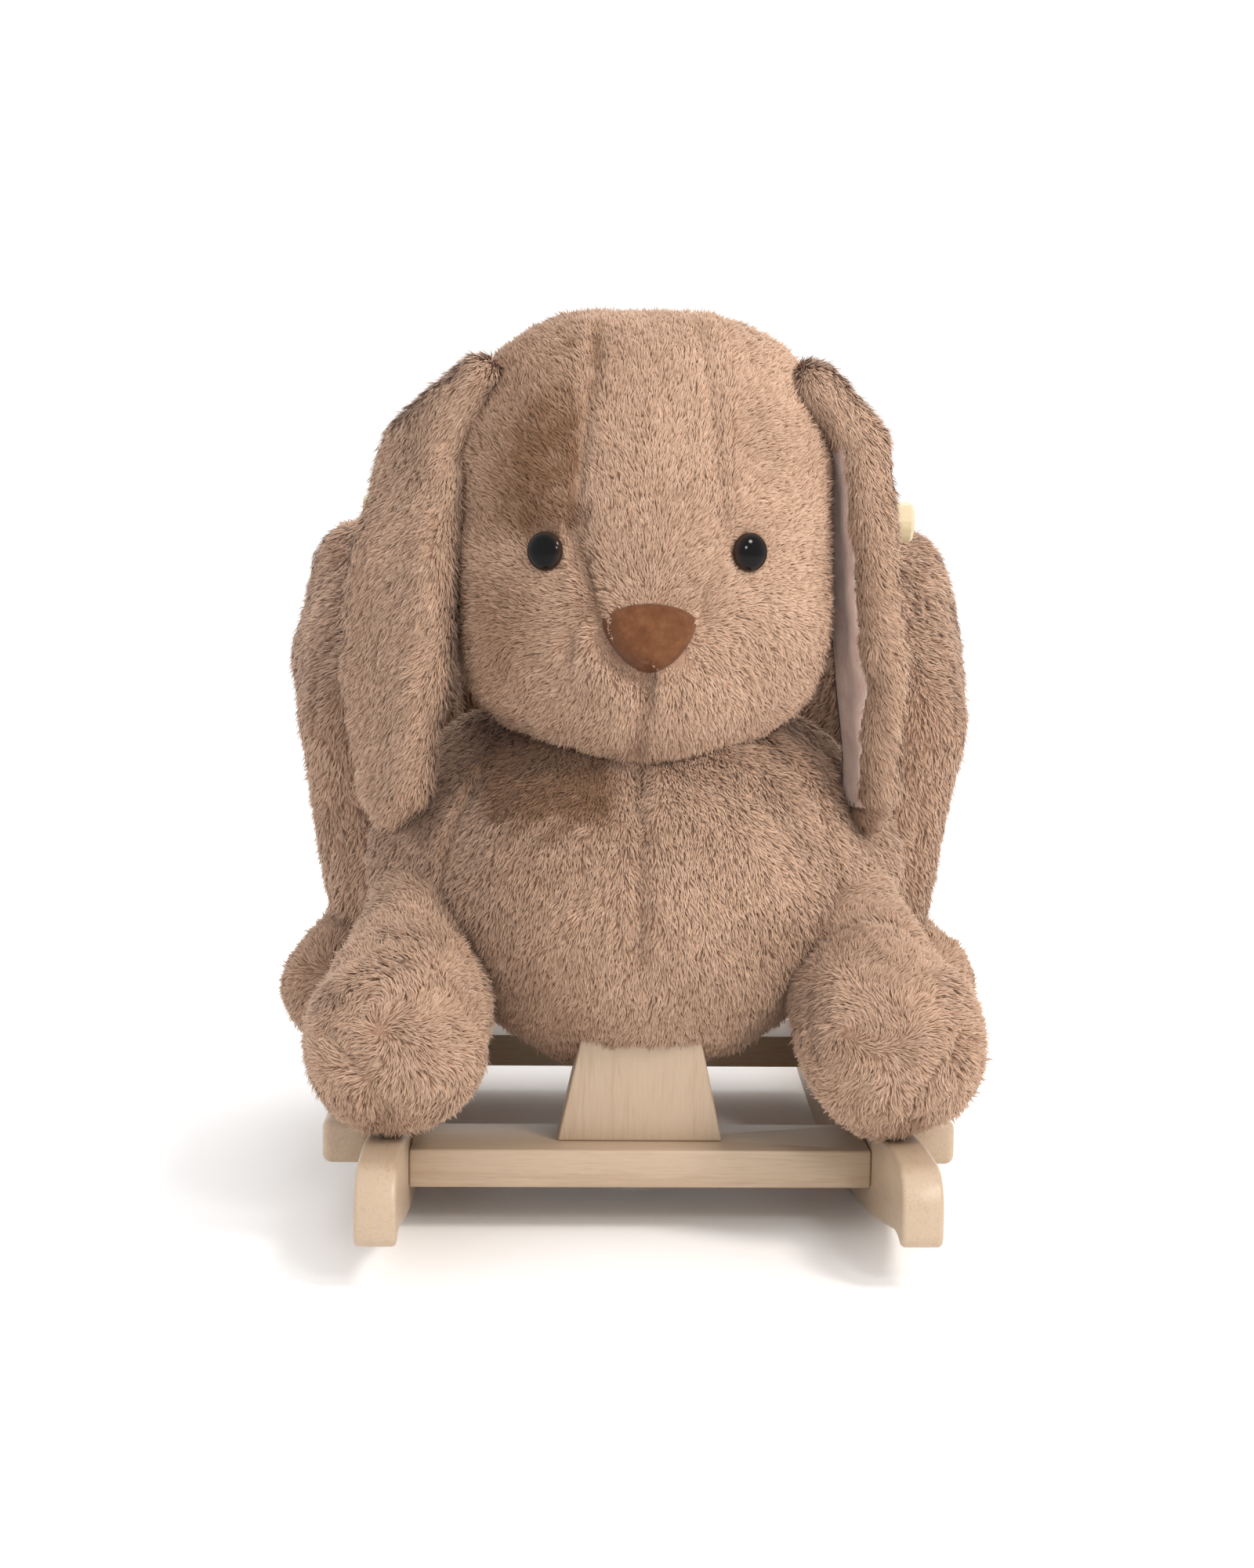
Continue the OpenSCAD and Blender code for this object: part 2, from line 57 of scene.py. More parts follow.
eye_line = Vector((-0.0595, -1.389, 0.377))
turn, down, tilt = math.radians(2.3), math.radians(5.6), math.radians(0.8)
ahead = Vector((math.sin(turn) * math.cos(down), math.cos(turn) * math.cos(down), -math.sin(down)))
across = Vector((math.cos(turn), -math.sin(turn), 0))
over = across.cross(ahead)
camera = add("camera", bpy.data.cameras.new("camera"))
bpy.context.scene.camera = camera
camera.data.lens = 50
camera.data.sensor_width = 36
aim = Matrix((across * math.cos(tilt) + over * math.sin(tilt),
              over * math.cos(tilt) - across * math.sin(tilt),
              -ahead)).transposed().to_4x4()
aim.translation = eye_line
camera.matrix_world = aim

# ---- Studio ----------------------------------------------------------------------------------
# A pale sweep of floor in a white room, lit by one large soft lamp high on the
# rabbit's left, a weaker one above and behind, and a small one that shines in its eyes.
bpy.context.scene.view_settings.view_transform = "Standard"


def node(material, kind, inputs=None, **settings):
    """Adds a node to a material, with its settings, its values and its links."""
    made = material.node_tree.nodes.new(kind)
    for name, value in settings.items():
        setattr(made, name, value)
    for name, value in (inputs or {}).items():
        if isinstance(value, bpy.types.NodeSocket):
            material.node_tree.links.new(value, made.inputs[name])
        else:
            made.inputs[name].default_value = value
    return made


def srgb(code, alpha=1.0):
    """A hex colour as Blender's linear values."""
    parts = [int(code[i:i + 2], 16) / 255 for i in (1, 3, 5)]
    return (*[p / 12.92 if p <= 0.04045 else ((p + 0.055) / 1.055) ** 2.4 for p in parts], alpha)


def surface(name, **values):
    """A new material and its Principled shader."""
    made = bpy.data.materials.new(name)
    made.use_nodes = True
    shader = made.node_tree.nodes["Principled BSDF"]
    for socket, value in values.items():
        shader.inputs[socket.replace("_", " ")].default_value = value
    return made, shader


def join(material, output, target):
    """Links a node's output to a socket."""
    material.node_tree.links.new(output, target)


def ramp(made, *stops):
    """Sets a Color Ramp's stops, each a place and a hex colour."""
    band = made.color_ramp
    while len(band.elements) < len(stops):
        band.elements.new(1.0)
    for element, (place, code) in zip(band.elements, stops):
        element.position = place
        element.color = srgb(code)
    return made


world = bpy.data.worlds.new("white room")
bpy.context.scene.world = world
world.use_nodes = True
world.node_tree.nodes["Background"].inputs["Color"].default_value = srgb("#ffffff")
world.node_tree.nodes["Background"].inputs["Strength"].default_value = 1.1

sweep = bmesh.new()
bmesh.ops.create_grid(sweep, x_segments=1, y_segments=1, size=6.0)
floor_mesh = bpy.data.meshes.new("floor")
sweep.to_mesh(floor_mesh)
sweep.free()
floor = add("floor", floor_mesh)
paper, paper_shader = surface("white_paper", Roughness=0.9)
paper_shader.inputs["Base Color"].default_value = srgb("#ffffff")
floor_mesh.materials.append(paper)


def lamp(name, place, target, size, power, colour):
    """A round soft lamp at a place in metres, aimed at the target."""
    data = bpy.data.lights.new(name, "AREA")
    data.shape = "DISK"
    data.size = size
    data.energy = power
    data.color = srgb(colour)[:3]
    made = add(name, data)
    made.location = place
    made.rotation_euler = (Vector(target) - Vector(place)).to_track_quat("-Z", "Y").to_euler()


lamp("key", (1.25, -1.35, 1.75), (0, -0.05, 0.28), 0.55, 24, "#fff6ec")
lamp("catchlight", (0.42, -1.15, 0.72), (0, -0.17, 0.39), 0.2, 2.6, "#ffffff")
lamp("top", (0.1, 0.9, 1.9), (0, 0.05, 0.3), 1.4, 10, "#ffffff")

# ---- Rockers -----------------------------------------------------------------------------------
# Two boards sawn from pale hardwood, with the rocking arc and the end stops cut in one
# outline. Their edges are rounded over by hand and sanded before a satin lacquer.


def timber(name, along, pale="#b49e86", dark="#ab937a", pore="#957a60"):
    """Lacquered maple: straight close grain with faint darker bands and short pores, under a satin coat."""
    made, shader = surface(name, Roughness=0.42, IOR=1.5, Coat_Weight=0.18, Coat_Roughness=0.35)
    place = node(made, "ShaderNodeTexCoord")
    stretch = [1.0, 1.0, 1.0]
    stretch[along] = 0.045
    grain = node(made, "ShaderNodeMapping", {"Vector": place.outputs["Object"], "Scale": stretch})
    bands = node(made, "ShaderNodeTexNoise", {"Vector": grain.outputs["Vector"], "Scale": 1 / (14 * MM),
                                              "Detail": 3.0, "Roughness": 0.55, "Distortion": 0.6})
    fine = node(made, "ShaderNodeTexNoise", {"Vector": grain.outputs["Vector"], "Scale": 1 / (1.6 * MM),
                                             "Detail": 2.0, "Roughness": 0.7})
    both = node(made, "ShaderNodeMath", {0: bands.outputs["Fac"], 1: fine.outputs["Fac"]}, operation="ADD")
    half = node(made, "ShaderNodeMath", {0: both.outputs[0], 1: 0.5}, operation="MULTIPLY")
    tint = ramp(node(made, "ShaderNodeValToRGB", {"Fac": half.outputs[0]}), (0.36, dark), (0.5, pale), (0.66, dark))
    flecks = node(made, "ShaderNodeTexNoise", {"Vector": grain.outputs["Vector"], "Scale": 1 / (0.9 * MM),
                                               "Detail": 1.0})
    pores = node(made, "ShaderNodeMapRange", {"Value": flecks.outputs["Fac"], "From Min": 0.66, "From Max": 0.76,
                                              "To Max": 0.35})
    blend = node(made, "ShaderNodeMix", {0: pores.outputs["Result"], 6: tint.outputs["Color"], 7: srgb(pore)},
                 data_type="RGBA")
    join(made, blend.outputs[2], shader.inputs["Base Color"])
    relief = node(made, "ShaderNodeBump", {"Height": half.outputs[0], "Strength": 0.12, "Distance": 0.3 * MM})
    join(made, relief.outputs["Normal"], shader.inputs["Normal"])
    return made


def board(name, wood, edge, screws, segments=3):
    """A CAD board with its edges rounded over, but not those of its screw holes."""
    made = bmesh.new()
    made.from_mesh(nodes[name].data)
    bmesh.ops.remove_doubles(made, verts=made.verts, dist=0.01 * MM)
    bmesh.ops.dissolve_limit(made, angle_limit=0.5 * math.radians(1), verts=made.verts, edges=made.edges)
    holes = []
    for which, axis in screws:
        flat = np.array([v.co for v in nodes[which].data.vertices], float).reshape(-1, 3)
        flat[:, axis] = 0
        holes.append((flat, axis))

    def by_hole(point):
        for flat, axis in holes:
            spot = np.array(point, float)
            spot[axis] = 0
            if (np.linalg.norm(flat - spot, axis=1) < 4 * MM).any():
                return True
        return False

    rims = [e for e in made.edges
            if len(e.link_faces) == 2 and e.calc_face_angle(0) > math.radians(35)
            and not by_hole((e.verts[0].co + e.verts[1].co) / 2)]
    bmesh.ops.bevel(made, geom=rims, offset=edge, segments=segments, profile=0.5, affect="EDGES",
                    material=-1, clamp_overlap=True)
    mesh = bpy.data.meshes.new(name + "_rounded")
    made.to_mesh(mesh)
    made.free()
    mesh.shade_smooth()
    mesh.set_sharp_from_angle(angle=math.radians(32))
    mesh.materials.append(wood)
    piece = add(name + "_rounded", mesh)
    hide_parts(name)
    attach(piece, BODY)
    return piece


maple_y = timber("lacquered_maple_lengthwise", 1)
for name in ("rocker_right", "rocker_left"):
    board(name, maple_y, 2.6 * MM, [("rocker_screws", 0), ("footrest_screws", 0)])

# ---- Cross bars, supports and footrests ------------------------------------------------------------
# Bars of the same maple are screwed between the rockers through their outer faces. The tapered
# boards stand on them under the seat, and a block on each rocker takes the rider's foot.
maple_x = timber("lacquered_maple_crosswise", 0)
maple_z = timber("lacquered_maple_upright", 2)
for name in ("front_cross_bar", "rear_cross_bar"):
    board(name, maple_x, 1.6 * MM, [("rocker_screws", 0), ("support_screws", 2)])
for name in ("front_support_board", "rear_support_board"):
    board(name, maple_z, 1.4 * MM, [("support_screws", 2), ("seat_board_screws", 2)])
for name in ("footrest_right", "footrest_left"):
    board(name, maple_y, 5.5 * MM, [("footrest_screws", 0)], segments=5)

# ---- Seat frame --------------------------------------------------------------------------------------
# Birch plywood panels that the padding is pulled over, and the hardwood post for the handle.
# They are bare wood, and hidden once the cover is closed.
plywood = timber("bare_birch_plywood", 1, pale="#bfa983", dark="#ad9066", pore="#8e7047")
for name in ("seat_board", "side_panel_right", "side_panel_left", "back_panel", "head_post"):
    nodes[name].material_slots[0].material = plywood

# ---- Handle --------------------------------------------------------------------------------------------
# A 25 mm beech dowel, turned smooth, with chamfered ends and a shallow groove by each grip.
# It is a little yellower than the base.
beech = timber("turned_beech_dowel", 0, pale="#cebd9c", dark="#c2ad86", pore="#a88e62")
nodes["handle"].material_slots[0].material = beech

# ---- Screws ----------------------------------------------------------------------------------------------
# Zinc-plated countersunk wood screws, driven just under the surface.
zinc, zinc_shader = surface("zinc_plated_steel", Metallic=1.0, Roughness=0.34)
where = node(zinc, "ShaderNodeTexCoord")
cloudy = node(zinc, "ShaderNodeTexNoise", {"Vector": where.outputs["Object"], "Scale": 1 / (2 * MM), "Detail": 2.0})
plate = ramp(node(zinc, "ShaderNodeValToRGB", {"Fac": cloudy.outputs["Fac"]}), (0.35, "#a6a8ab"), (0.65, "#c3c4c6"))
join(zinc, plate.outputs["Color"], zinc_shader.inputs["Base Color"])
for name in ("rocker_screws", "footrest_screws", "support_screws", "seat_board_screws", "panel_screws", "handle_screw"):
    nodes[name].material_slots[0].material = zinc

# ---- Seat wings ----------------------------------------------------------------------------------------------
# Each wing is a padded side of the armchair seat: a sewn bag of dense short plush over foam and
# fibre. The plush is knitted cloth with a dense pile, darker at the root and frosted at the tip.
SCALE = 1.0


def waves(points, size, seed, count=8):
    """Smooth noise of about -1 to 1, whose features are size metres across."""
    rng = np.random.default_rng(seed)
    way = rng.normal(size=(count, 3))
    way *= (2 * math.pi / size * rng.uniform(0.6, 1.3, count) / np.linalg.norm(way, axis=1))[:, None]
    return np.sin(points @ way.T + rng.uniform(0, 2 * math.pi, count)).sum(1) / math.sqrt(count * 1.4)


def unit(v):
    """The vectors at length one."""
    return v / np.maximum(np.linalg.norm(v, axis=-1, keepdims=True), 1e-9)


class Skin:
    """The cloth of one stuffed piece, as a mesh that can be pressed and pulled before it gets its pile."""

    def __init__(self, name, forms, voxel=3.6, rounds=14):
        shell = bmesh.new()
        for balls in forms:
            part = bmesh.new()
            for place, radius in balls:
                bmesh.ops.create_icosphere(part, subdivisions=3, radius=radius * MM,
                                           matrix=Matrix.Translation(Vector(place) * MM))
            hull = bmesh.ops.convex_hull(part, input=part.verts[:])
            spare = {g for g in hull["geom_interior"] + hull["geom_unused"] if isinstance(g, bmesh.types.BMVert)}
            bmesh.ops.delete(part, geom=list(spare), context="VERTS")
            holder = bpy.data.meshes.new("part")
            part.to_mesh(holder)
            part.free()
            shell.from_mesh(holder)
            bpy.data.meshes.remove(holder)
        mesh = bpy.data.meshes.new(name)
        shell.to_mesh(mesh)
        shell.free()
        self.name = name
        self.piece = add(name, mesh)
        cut = self.piece.modifiers.new("even", "REMESH")
        cut.mode = "VOXEL"
        cut.voxel_size = voxel * MM
        ease = self.piece.modifiers.new("ease", "SMOOTH")
        ease.factor = 0.5
        ease.iterations = rounds
        graph = bpy.context.evaluated_depsgraph_get()
        even = bpy.data.meshes.new_from_object(self.piece.evaluated_get(graph))
        self.piece.modifiers.clear()
        self.piece.data = even
        bpy.data.meshes.remove(mesh)
        even.name = name
        self.read()

    def read(self):
        mesh = self.piece.data
        self.at = np.empty(len(mesh.vertices) * 3)
        mesh.vertices.foreach_get("co", self.at)
        self.at = self.at.reshape(-1, 3)
        self.out = np.empty(len(mesh.vertices) * 3)
        mesh.vertices.foreach_get("normal", self.out)
        self.out = self.out.reshape(-1, 3)

    def write(self):
        self.piece.data.vertices.foreach_set("co", self.at.ravel())
        self.piece.data.update()
        self.read()

    def find(self, start, way, points):
        """Where lines through the points, in mm, first meet the cloth when they come along way."""
        tree = BVHTree.FromObject(self.piece, bpy.context.evaluated_depsgraph_get())
        found = []
        for p in points:
            hit = tree.ray_cast(Vector(p) * MM - Vector(way) * start, Vector(way))
            if hit[0] is not None:
                found.append(hit[0])
        return np.array(found, float)

    def away(self, line, points=None):
        """Distance of each point from a line of points, in metres."""
        at = self.at if points is None else points
        if len(line) == 1:
            return np.linalg.norm(at - line[0], axis=1)
        best = np.full(len(at), 9.0)
        for a, b in zip(line[:-1], line[1:]):
            d = b - a
            t = np.clip(((at - a) @ d) / max(d @ d, 1e-12), 0, 1)
            best = np.minimum(best, np.linalg.norm(at - a - t[:, None] * d, axis=1))
        return best

    def press(self, line, depth, width):
        """Pulls the cloth in along a line, as a tight seam or a stitch does. A negative depth swells it."""
        self.at -= self.out * (depth * MM * np.exp(-(self.away(line) / (width * MM)) ** 2))[:, None]
        self.write()

    def lumps(self, size, depth, seed):
        """The soft unevenness of hand-stuffed fibre."""
        self.at += self.out * (depth * MM * waves(self.at, size * MM, seed))[:, None]
        self.write()


def stuffing(skin, body, replaces=()):
    """Makes a skin the ground cloth of a padded piece, in place of the CAD solids."""
    skin.piece.data.materials.clear()
    skin.piece.data.materials.append(knit)
    skin.piece.data.shade_smooth()
    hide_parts(*replaces)
    if body:
        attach(skin.piece, body)


def inside(points, balls, margin):
    """True for points deeper than margin mm inside any of the balls."""
    deep = np.zeros(len(points), bool)
    for place, radius in balls:
        deep |= np.linalg.norm(points - np.array(place) * MM, axis=1) < (radius - margin) * MM
    return deep


def pile(skin, name, count, comb, seed, body, length=7.4, width=0.9, keep=None, shorter=None, tone_and_painted_shade=None,
         swirl=0.35, lift=(24, 8)):
    """Plants the pile of a stuffed piece: flat pointed strands of two faces, combed and gathered in tufts."""
    rng = np.random.default_rng(seed)
    count = int(count * SCALE)
    mesh = skin.piece.data
    mesh.calc_loop_triangles()
    corners = np.empty(len(mesh.loop_triangles) * 3, np.int64)
    mesh.loop_triangles.foreach_get("vertices", corners)
    corners = corners.reshape(-1, 3)
    a, b, c = (skin.at[corners[:, i]] for i in range(3))
    area = np.linalg.norm(np.cross(b - a, c - a), axis=1)
    if keep is not None:
        area = area * keep((a + b + c) / 3, unit(skin.out[corners].sum(1)))
    pick = np.sort(rng.choice(len(area), count, p=area / area.sum()))
    u, v = rng.random(count), rng.random(count)
    flip = u + v > 1
    u[flip], v[flip] = 1 - u[flip], 1 - v[flip]
    w = np.stack([1 - u - v, u, v], 1)
    root = (skin.at[corners[pick]] * w[..., None]).sum(1)
    out = unit((skin.out[corners[pick]] * w[..., None]).sum(1))

    # Tufts: every strand leans towards the middle of the tuft that it grows in.
    tufts = max(count // 16, 4)
    chosen = rng.choice(count, tufts, replace=False)
    tree = KDTree(tufts)
    for i, k in enumerate(chosen):
        tree.insert(root[k], i)
    tree.balance()
    tuft = np.array([tree.find(p)[1] for p in root])
    centre = root[chosen][tuft]

    lie = comb(root, out)
    lie = unit(lie - out * (lie * out).sum(1, keepdims=True))
    aside = np.cross(out, lie)
    turn = (swirl * 0.8 * waves(root, 45 * MM, seed + 1) + swirl * 0.6 * waves(root, 14 * MM, seed + 2)
            + 0.13 * rng.normal(size=tufts)[tuft] + 0.16 * rng.normal(size=count))
    lie = lie * np.cos(turn)[:, None] + aside * np.sin(turn)[:, None]
    loose = (rng.random(count) < 0.10) * rng.uniform(12, 30, count)
    rise = loose + 4 * waves(root, 30 * MM, seed + 3) + 3 * rng.normal(size=tufts)[tuft] + 5 * rng.normal(size=count)
    low = np.radians(np.clip(lift[0] + rise, 12, 80))[:, None]
    high = np.radians(np.clip(lift[1] + rise, 3, 70))[:, None]
    reach = length * MM * rng.uniform(0.72, 1.12, count) * (1 + 0.1 * rng.normal(size=tufts)[tuft])
    if shorter is not None:
        reach = reach * shorter(root)
    reach = reach[:, None]
    middle = root + 0.5 * reach * (np.cos(low) * lie + np.sin(low) * out)
    tip = middle + 0.5 * reach * (np.cos(high) * lie + np.sin(high) * out)
    gather = centre - root
    gather -= out * (gather * out).sum(1, keepdims=True)
    middle += 0.09 * gather
    tip += 0.24 * gather
    side = unit(np.cross(lie, out))
    roll = rng.uniform(-0.45, 0.45, count)[:, None]
    side = side * np.cos(roll) + unit(np.cross(side, tip - root)) * np.sin(roll)
    half = 0.5 * width * MM * rng.uniform(0.75, 1.25, count)[:, None] * side
    foot = root - 0.8 * MM * out

    places = np.stack([foot, middle + half, middle - half, tip], 1).reshape(-1, 3)
    lean = np.stack([unit(out), unit(out - 0.30 * lie + 0.25 * half / (0.5 * width * MM)),
                     unit(out - 0.30 * lie - 0.25 * half / (0.5 * width * MM)), unit(out - 0.10 * lie)], 1)
    shade = (0.72 + 0.07 * waves(root, 60 * MM, seed + 4) + 0.05 * waves(root, 12 * MM, seed + 5)
             + 0.04 * rng.normal(size=tufts)[tuft] + 0.08 * rng.normal(size=count))
    # A piece's painted light and shade is added here to the strands' own random spread of tone.
    if tone_and_painted_shade is not None:
        shade = shade + tone_and_painted_shade(root)
    shade = np.clip(shade, 0.02, 0.98)

    fur = bpy.data.meshes.new(name)
    fur.vertices.add(4 * count)
    fur.vertices.foreach_set("co", places.ravel().astype(np.float32))
    order = (4 * np.arange(count)[:, None] + np.array([0, 1, 2, 1, 3, 2])).ravel()
    fur.loops.add(6 * count)
    fur.loops.foreach_set("vertex_index", order.astype(np.int32))
    fur.polygons.add(2 * count)
    fur.polygons.foreach_set("loop_start", (3 * np.arange(2 * count)).astype(np.int32))
    fur.update(calc_edges=True)
    fur.normals_split_custom_set_from_vertices(lean.reshape(-1, 3).astype(np.float32))
    fur.attributes.new("tone_and_painted_shade", "FLOAT", "POINT").data.foreach_set("value", np.repeat(shade, 4).astype(np.float32))
    fur.attributes.new("reach", "FLOAT", "POINT").data.foreach_set(
        "value", np.tile([0.0, 0.5, 0.5, 1.0], count).astype(np.float32))
    # One strip of a shared map for each strand, so that like strands share their colours in it.
    map_x = shade[:, None] + np.array([0, -0.004, 0.004, -0.004, 0, 0.004])
    map_y = np.tile([0.01, 0.5, 0.5, 0.5, 0.99, 0.5], (count, 1))
    fur.uv_layers.new(name="OFBake").data.foreach_set("uv", np.stack([map_x, map_y], -1).ravel().astype(np.float32))
    fur.materials.append(fur_pile)
    piece = add(name, fur)
    if body:
        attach(piece, body)
    return piece


def parting(skin, lines, points):
    """How near each point is to a seam, from 0 away from one to its strength right on it."""
    near = np.zeros(len(points))
    for line, strength in lines:
        near = np.maximum(near, strength * np.exp(-(skin.away(line, points) / (3.2 * MM)) ** 2))
    return near


# Polyester faux fur: each fibre is dull and soft-edged, brown-grey at the root and pale at the tip.
fur_pile, fur_shader = surface("polyester_faux_fur_pile", Roughness=0.85, IOR=1.45, Specular_IOR_Level=0.22,
                               Sheen_Weight=0.12, Sheen_Roughness=0.5)
along_strand = node(fur_pile, "ShaderNodeAttribute", attribute_name="reach")
strand_tone_and_painted_shade = node(fur_pile, "ShaderNodeAttribute", attribute_name="tone_and_painted_shade")
# Each strand mixes a darker and a lighter ramp by its tone, which holds the pile's own random spread of colour and also
# the painted light and shade added to the head and belly.
darker_tone_and_painted_shade = ramp(node(fur_pile, "ShaderNodeValToRGB", {"Fac": along_strand.outputs["Fac"]}),
            (0.0, "#624531"), (0.4, "#70503a"), (1.0, "#7e5d43"))
lighter_tone_and_painted_light = ramp(node(fur_pile, "ShaderNodeValToRGB", {"Fac": along_strand.outputs["Fac"]}),
              (0.0, "#a38069"), (0.4, "#b5927a"), (1.0, "#d4b69f"))
between = node(fur_pile, "ShaderNodeMix", {0: strand_tone_and_painted_shade.outputs["Fac"], 6: darker_tone_and_painted_shade.outputs["Color"],
                                           7: lighter_tone_and_painted_light.outputs["Color"]}, data_type="RGBA")
join(fur_pile, between.outputs[2], fur_shader.inputs["Base Color"])

# The knitted ground cloth under the pile, seen only where the pile parts.
knit, knit_shader = surface("knitted_ground_cloth", Roughness=0.95, Sheen_Weight=0.15)
cloth_place = node(knit, "ShaderNodeTexCoord")
loops = node(knit, "ShaderNodeTexNoise", {"Vector": cloth_place.outputs["Object"], "Scale": 1 / (1.2 * MM),
                                          "Detail": 2.0})
cloth = ramp(node(knit, "ShaderNodeValToRGB", {"Fac": loops.outputs["Fac"]}), (0.35, "#8d6d58"), (0.65, "#a07e68"))
join(knit, cloth.outputs["Color"], knit_shader.inputs["Base Color"])
stitch = node(knit, "ShaderNodeBump", {"Height": loops.outputs["Fac"], "Strength": 0.5, "Distance": 0.5 * MM})
join(knit, stitch.outputs["Normal"], knit_shader.inputs["Normal"])

# The pile's depth, in mm: the cloth of each piece lies this far inside its finished form.
INSET = 3.5


def within(balls):
    """The balls of a stuffed form, drawn in by the depth of its pile."""
    return [(place, radius - INSET) for place, radius in balls]


def lying(x, y, z):
    """A comb that lays the whole pile one way."""
    return lambda p, n: np.tile((float(x), y, z), (len(p), 1))


# A little wider at the rabbit's left, as in the photo.
WING_OUT = {-1: 0, 1: 4}
WINGS = {}
for side, name in ((-1, "right"), (1, "left")):
    WINGS[side] = [((side * 171 + WING_OUT[side], 124, 365), 51), ((side * 177 + WING_OUT[side], 104, 320), 52),
                   ((side * 173, 4, 280), 42.6),
                   ((side * 150, 150, 159), 50.2), ((side * 154, 18, 156), 43.2)]
    wing = Skin("wing_" + name + "_cover", [within(WINGS[side])], voxel=5.2, rounds=9)
    wing.lumps(70, 1.6, 11 + side)
    rim = wing.find(0.5, (-side, 0, 0), [(0, y, z) for y, z in
                    ((-18, 170), (-26, 230), (-14, 300), (30, 348), (80, 388), (124, 408), (160, 392))])
    if len(rim):
        wing.press(rim, 2.5, 6)
    stuffing(wing, BODY, ["wing_" + name])
    pile(wing, "wing_" + name + "_pile", 60000, lying(0, 0.5, -1), 40 + side, BODY, length=7.8, width=1.0,
         keep=lambda p, n: 0.25 + 0.75 * (p[:, 2] > 0.13))

# ---- Torso ---------------------------------------------------------------------------------------------------
# A pear-shaped body packed firmly with fibre. A centre seam runs down the chest, and a curved
# seam on each side joins the belly panel to the flanks.
TORSO = [((0, -60, 246), 84), ((0, -22, 190), 74.1)]
for side in (-1, 1):
    TORSO += [((side * 13, -95, 188), 110), ((side * 106, -42, 196), 63), ((side * 84, -45, 236), 56.7)]
torso = Skin("torso_cover", [within(TORSO)], voxel=4.2, rounds=7)
torso.lumps(60, 1.2, 5)
chest = torso.find(0.6, (0, 1, 0), [(-3, 0, z) for z in range(266, 158, -8)])
torso.press(chest, 6.0, 4.5)
torso_seams = [(chest, 0.6)]
for side in (-1, 1):
    flank = torso.find(0.6, (0, 1, 0), [(side * x, 0, z) for x, z in
                       ((92, 262), (106, 236), (114, 206), (117, 180), (113, 152), (98, 124), (78, 104))])
    torso.press(flank, 7.0, 5)
    torso_seams.append((flank, 0.55))
stuffing(torso, BODY, ["torso"])
HEAD = [((27, -81, 442.5), 88.5), ((-27, -81, 442.5), 88.5), ((39.2, -101, 343), 73.9), ((-39.2, -101, 343), 73.9),
        ((0, -127, 327), 68), ((0, -87, 379), 109.8)]


def belly_comb(p, n):
    lie = np.zeros_like(p)
    lie[:, 2] = -1
    lie[:, 0] = p[:, 0] * 3
    lie[:, 1] = 0.15
    return lie


def belly_painted_light_and_shade(p):
    """Painted light and shade: the right side, in the wing's shade and away from the key lamp, is painted duller and
    the left a little lighter. The most painted shade is by the neck, where the pile lies the other way, and more is
    painted along the seams.
    """
    neck_shade_mask = (np.clip((-p[:, 0] - 0.012) / 0.012, 0, 1) * np.clip((p[:, 0] + 0.105) / 0.02, 0, 1)
               * np.clip((p[:, 2] - 0.232 - 0.006 * waves(p, 18 * MM, 903)) / 0.012, 0, 1))
    return -0.08 * np.clip(-p[:, 0] / 0.03, -0.5, 1) - 0.56 * neck_shade_mask - 0.5 * parting(torso, torso_seams, p)


for side, name in ((-1, "right"), (1, "left")):
    pile(torso, "torso_pile_" + name, 82000, belly_comb, 60 + side, BODY, length=6.8,
         keep=lambda p, n, side=side: ((p[:, 0] * side >= 0) * ~inside(p, HEAD, 10)
                                       * ~inside(p, WINGS[1] + WINGS[-1], 6) * (0.4 + 0.6 * (p[:, 1] < -0.02))),
         shorter=lambda p: 1 - 0.8 * parting(torso, torso_seams, p), tone_and_painted_shade=belly_painted_light_and_shade)

# ---- Forelegs -----------------------------------------------------------------------------------------------
# Long stuffed legs sewn to the shoulders, ending in round paws that rest on the rockers.
FORELEGS = {}
for side, name in ((-1, "right"), (1, "left")):
    FORELEGS[side] = [((side * 108, -56, 182), 46), ((side * 128, -123.5, 142), 46.5), ((side * 137.5, -206, 117), 53)]
    s, e, p = within(FORELEGS[side])
    foreleg = Skin("foreleg_" + name + "_cover", [[s, e], [e, p]], voxel=3.6, rounds=9)
    foreleg.lumps(45, 1.4, 21 + side)
    crease = foreleg.find(0.4, (0, 1, 0), [(side * x, 0, z) for x, z in
                          ((168, 128), (156, 118), (146, 106), (141, 92), (143, 80))])
    foreleg.press(crease, 4.5, 5)
    bend = foreleg.find(0.4, (0, 0, -1), [(side * x, -158, 0) for x in range(96, 165, 8)])
    foreleg.press(bend, 3.0, 9)
    stuffing(foreleg, BODY, ["foreleg_" + name])

    def leg_comb(p, n, side=side):
        lie = np.zeros_like(p)
        lie[:, 0] = side * 0.35 + 0.45 * waves(p, 45 * MM, 907)
        lie[:, 1] = 0.8
        lie[:, 2] = -0.6 + 0.4 * waves(p, 55 * MM, 908)
        return lie

    pile(foreleg, "foreleg_" + name + "_pile", 62000, leg_comb, 80 + side, BODY, swirl=0.75,
         keep=lambda p, n: ~inside(p, TORSO + WINGS[1] + WINGS[-1], 6) * 1.0)

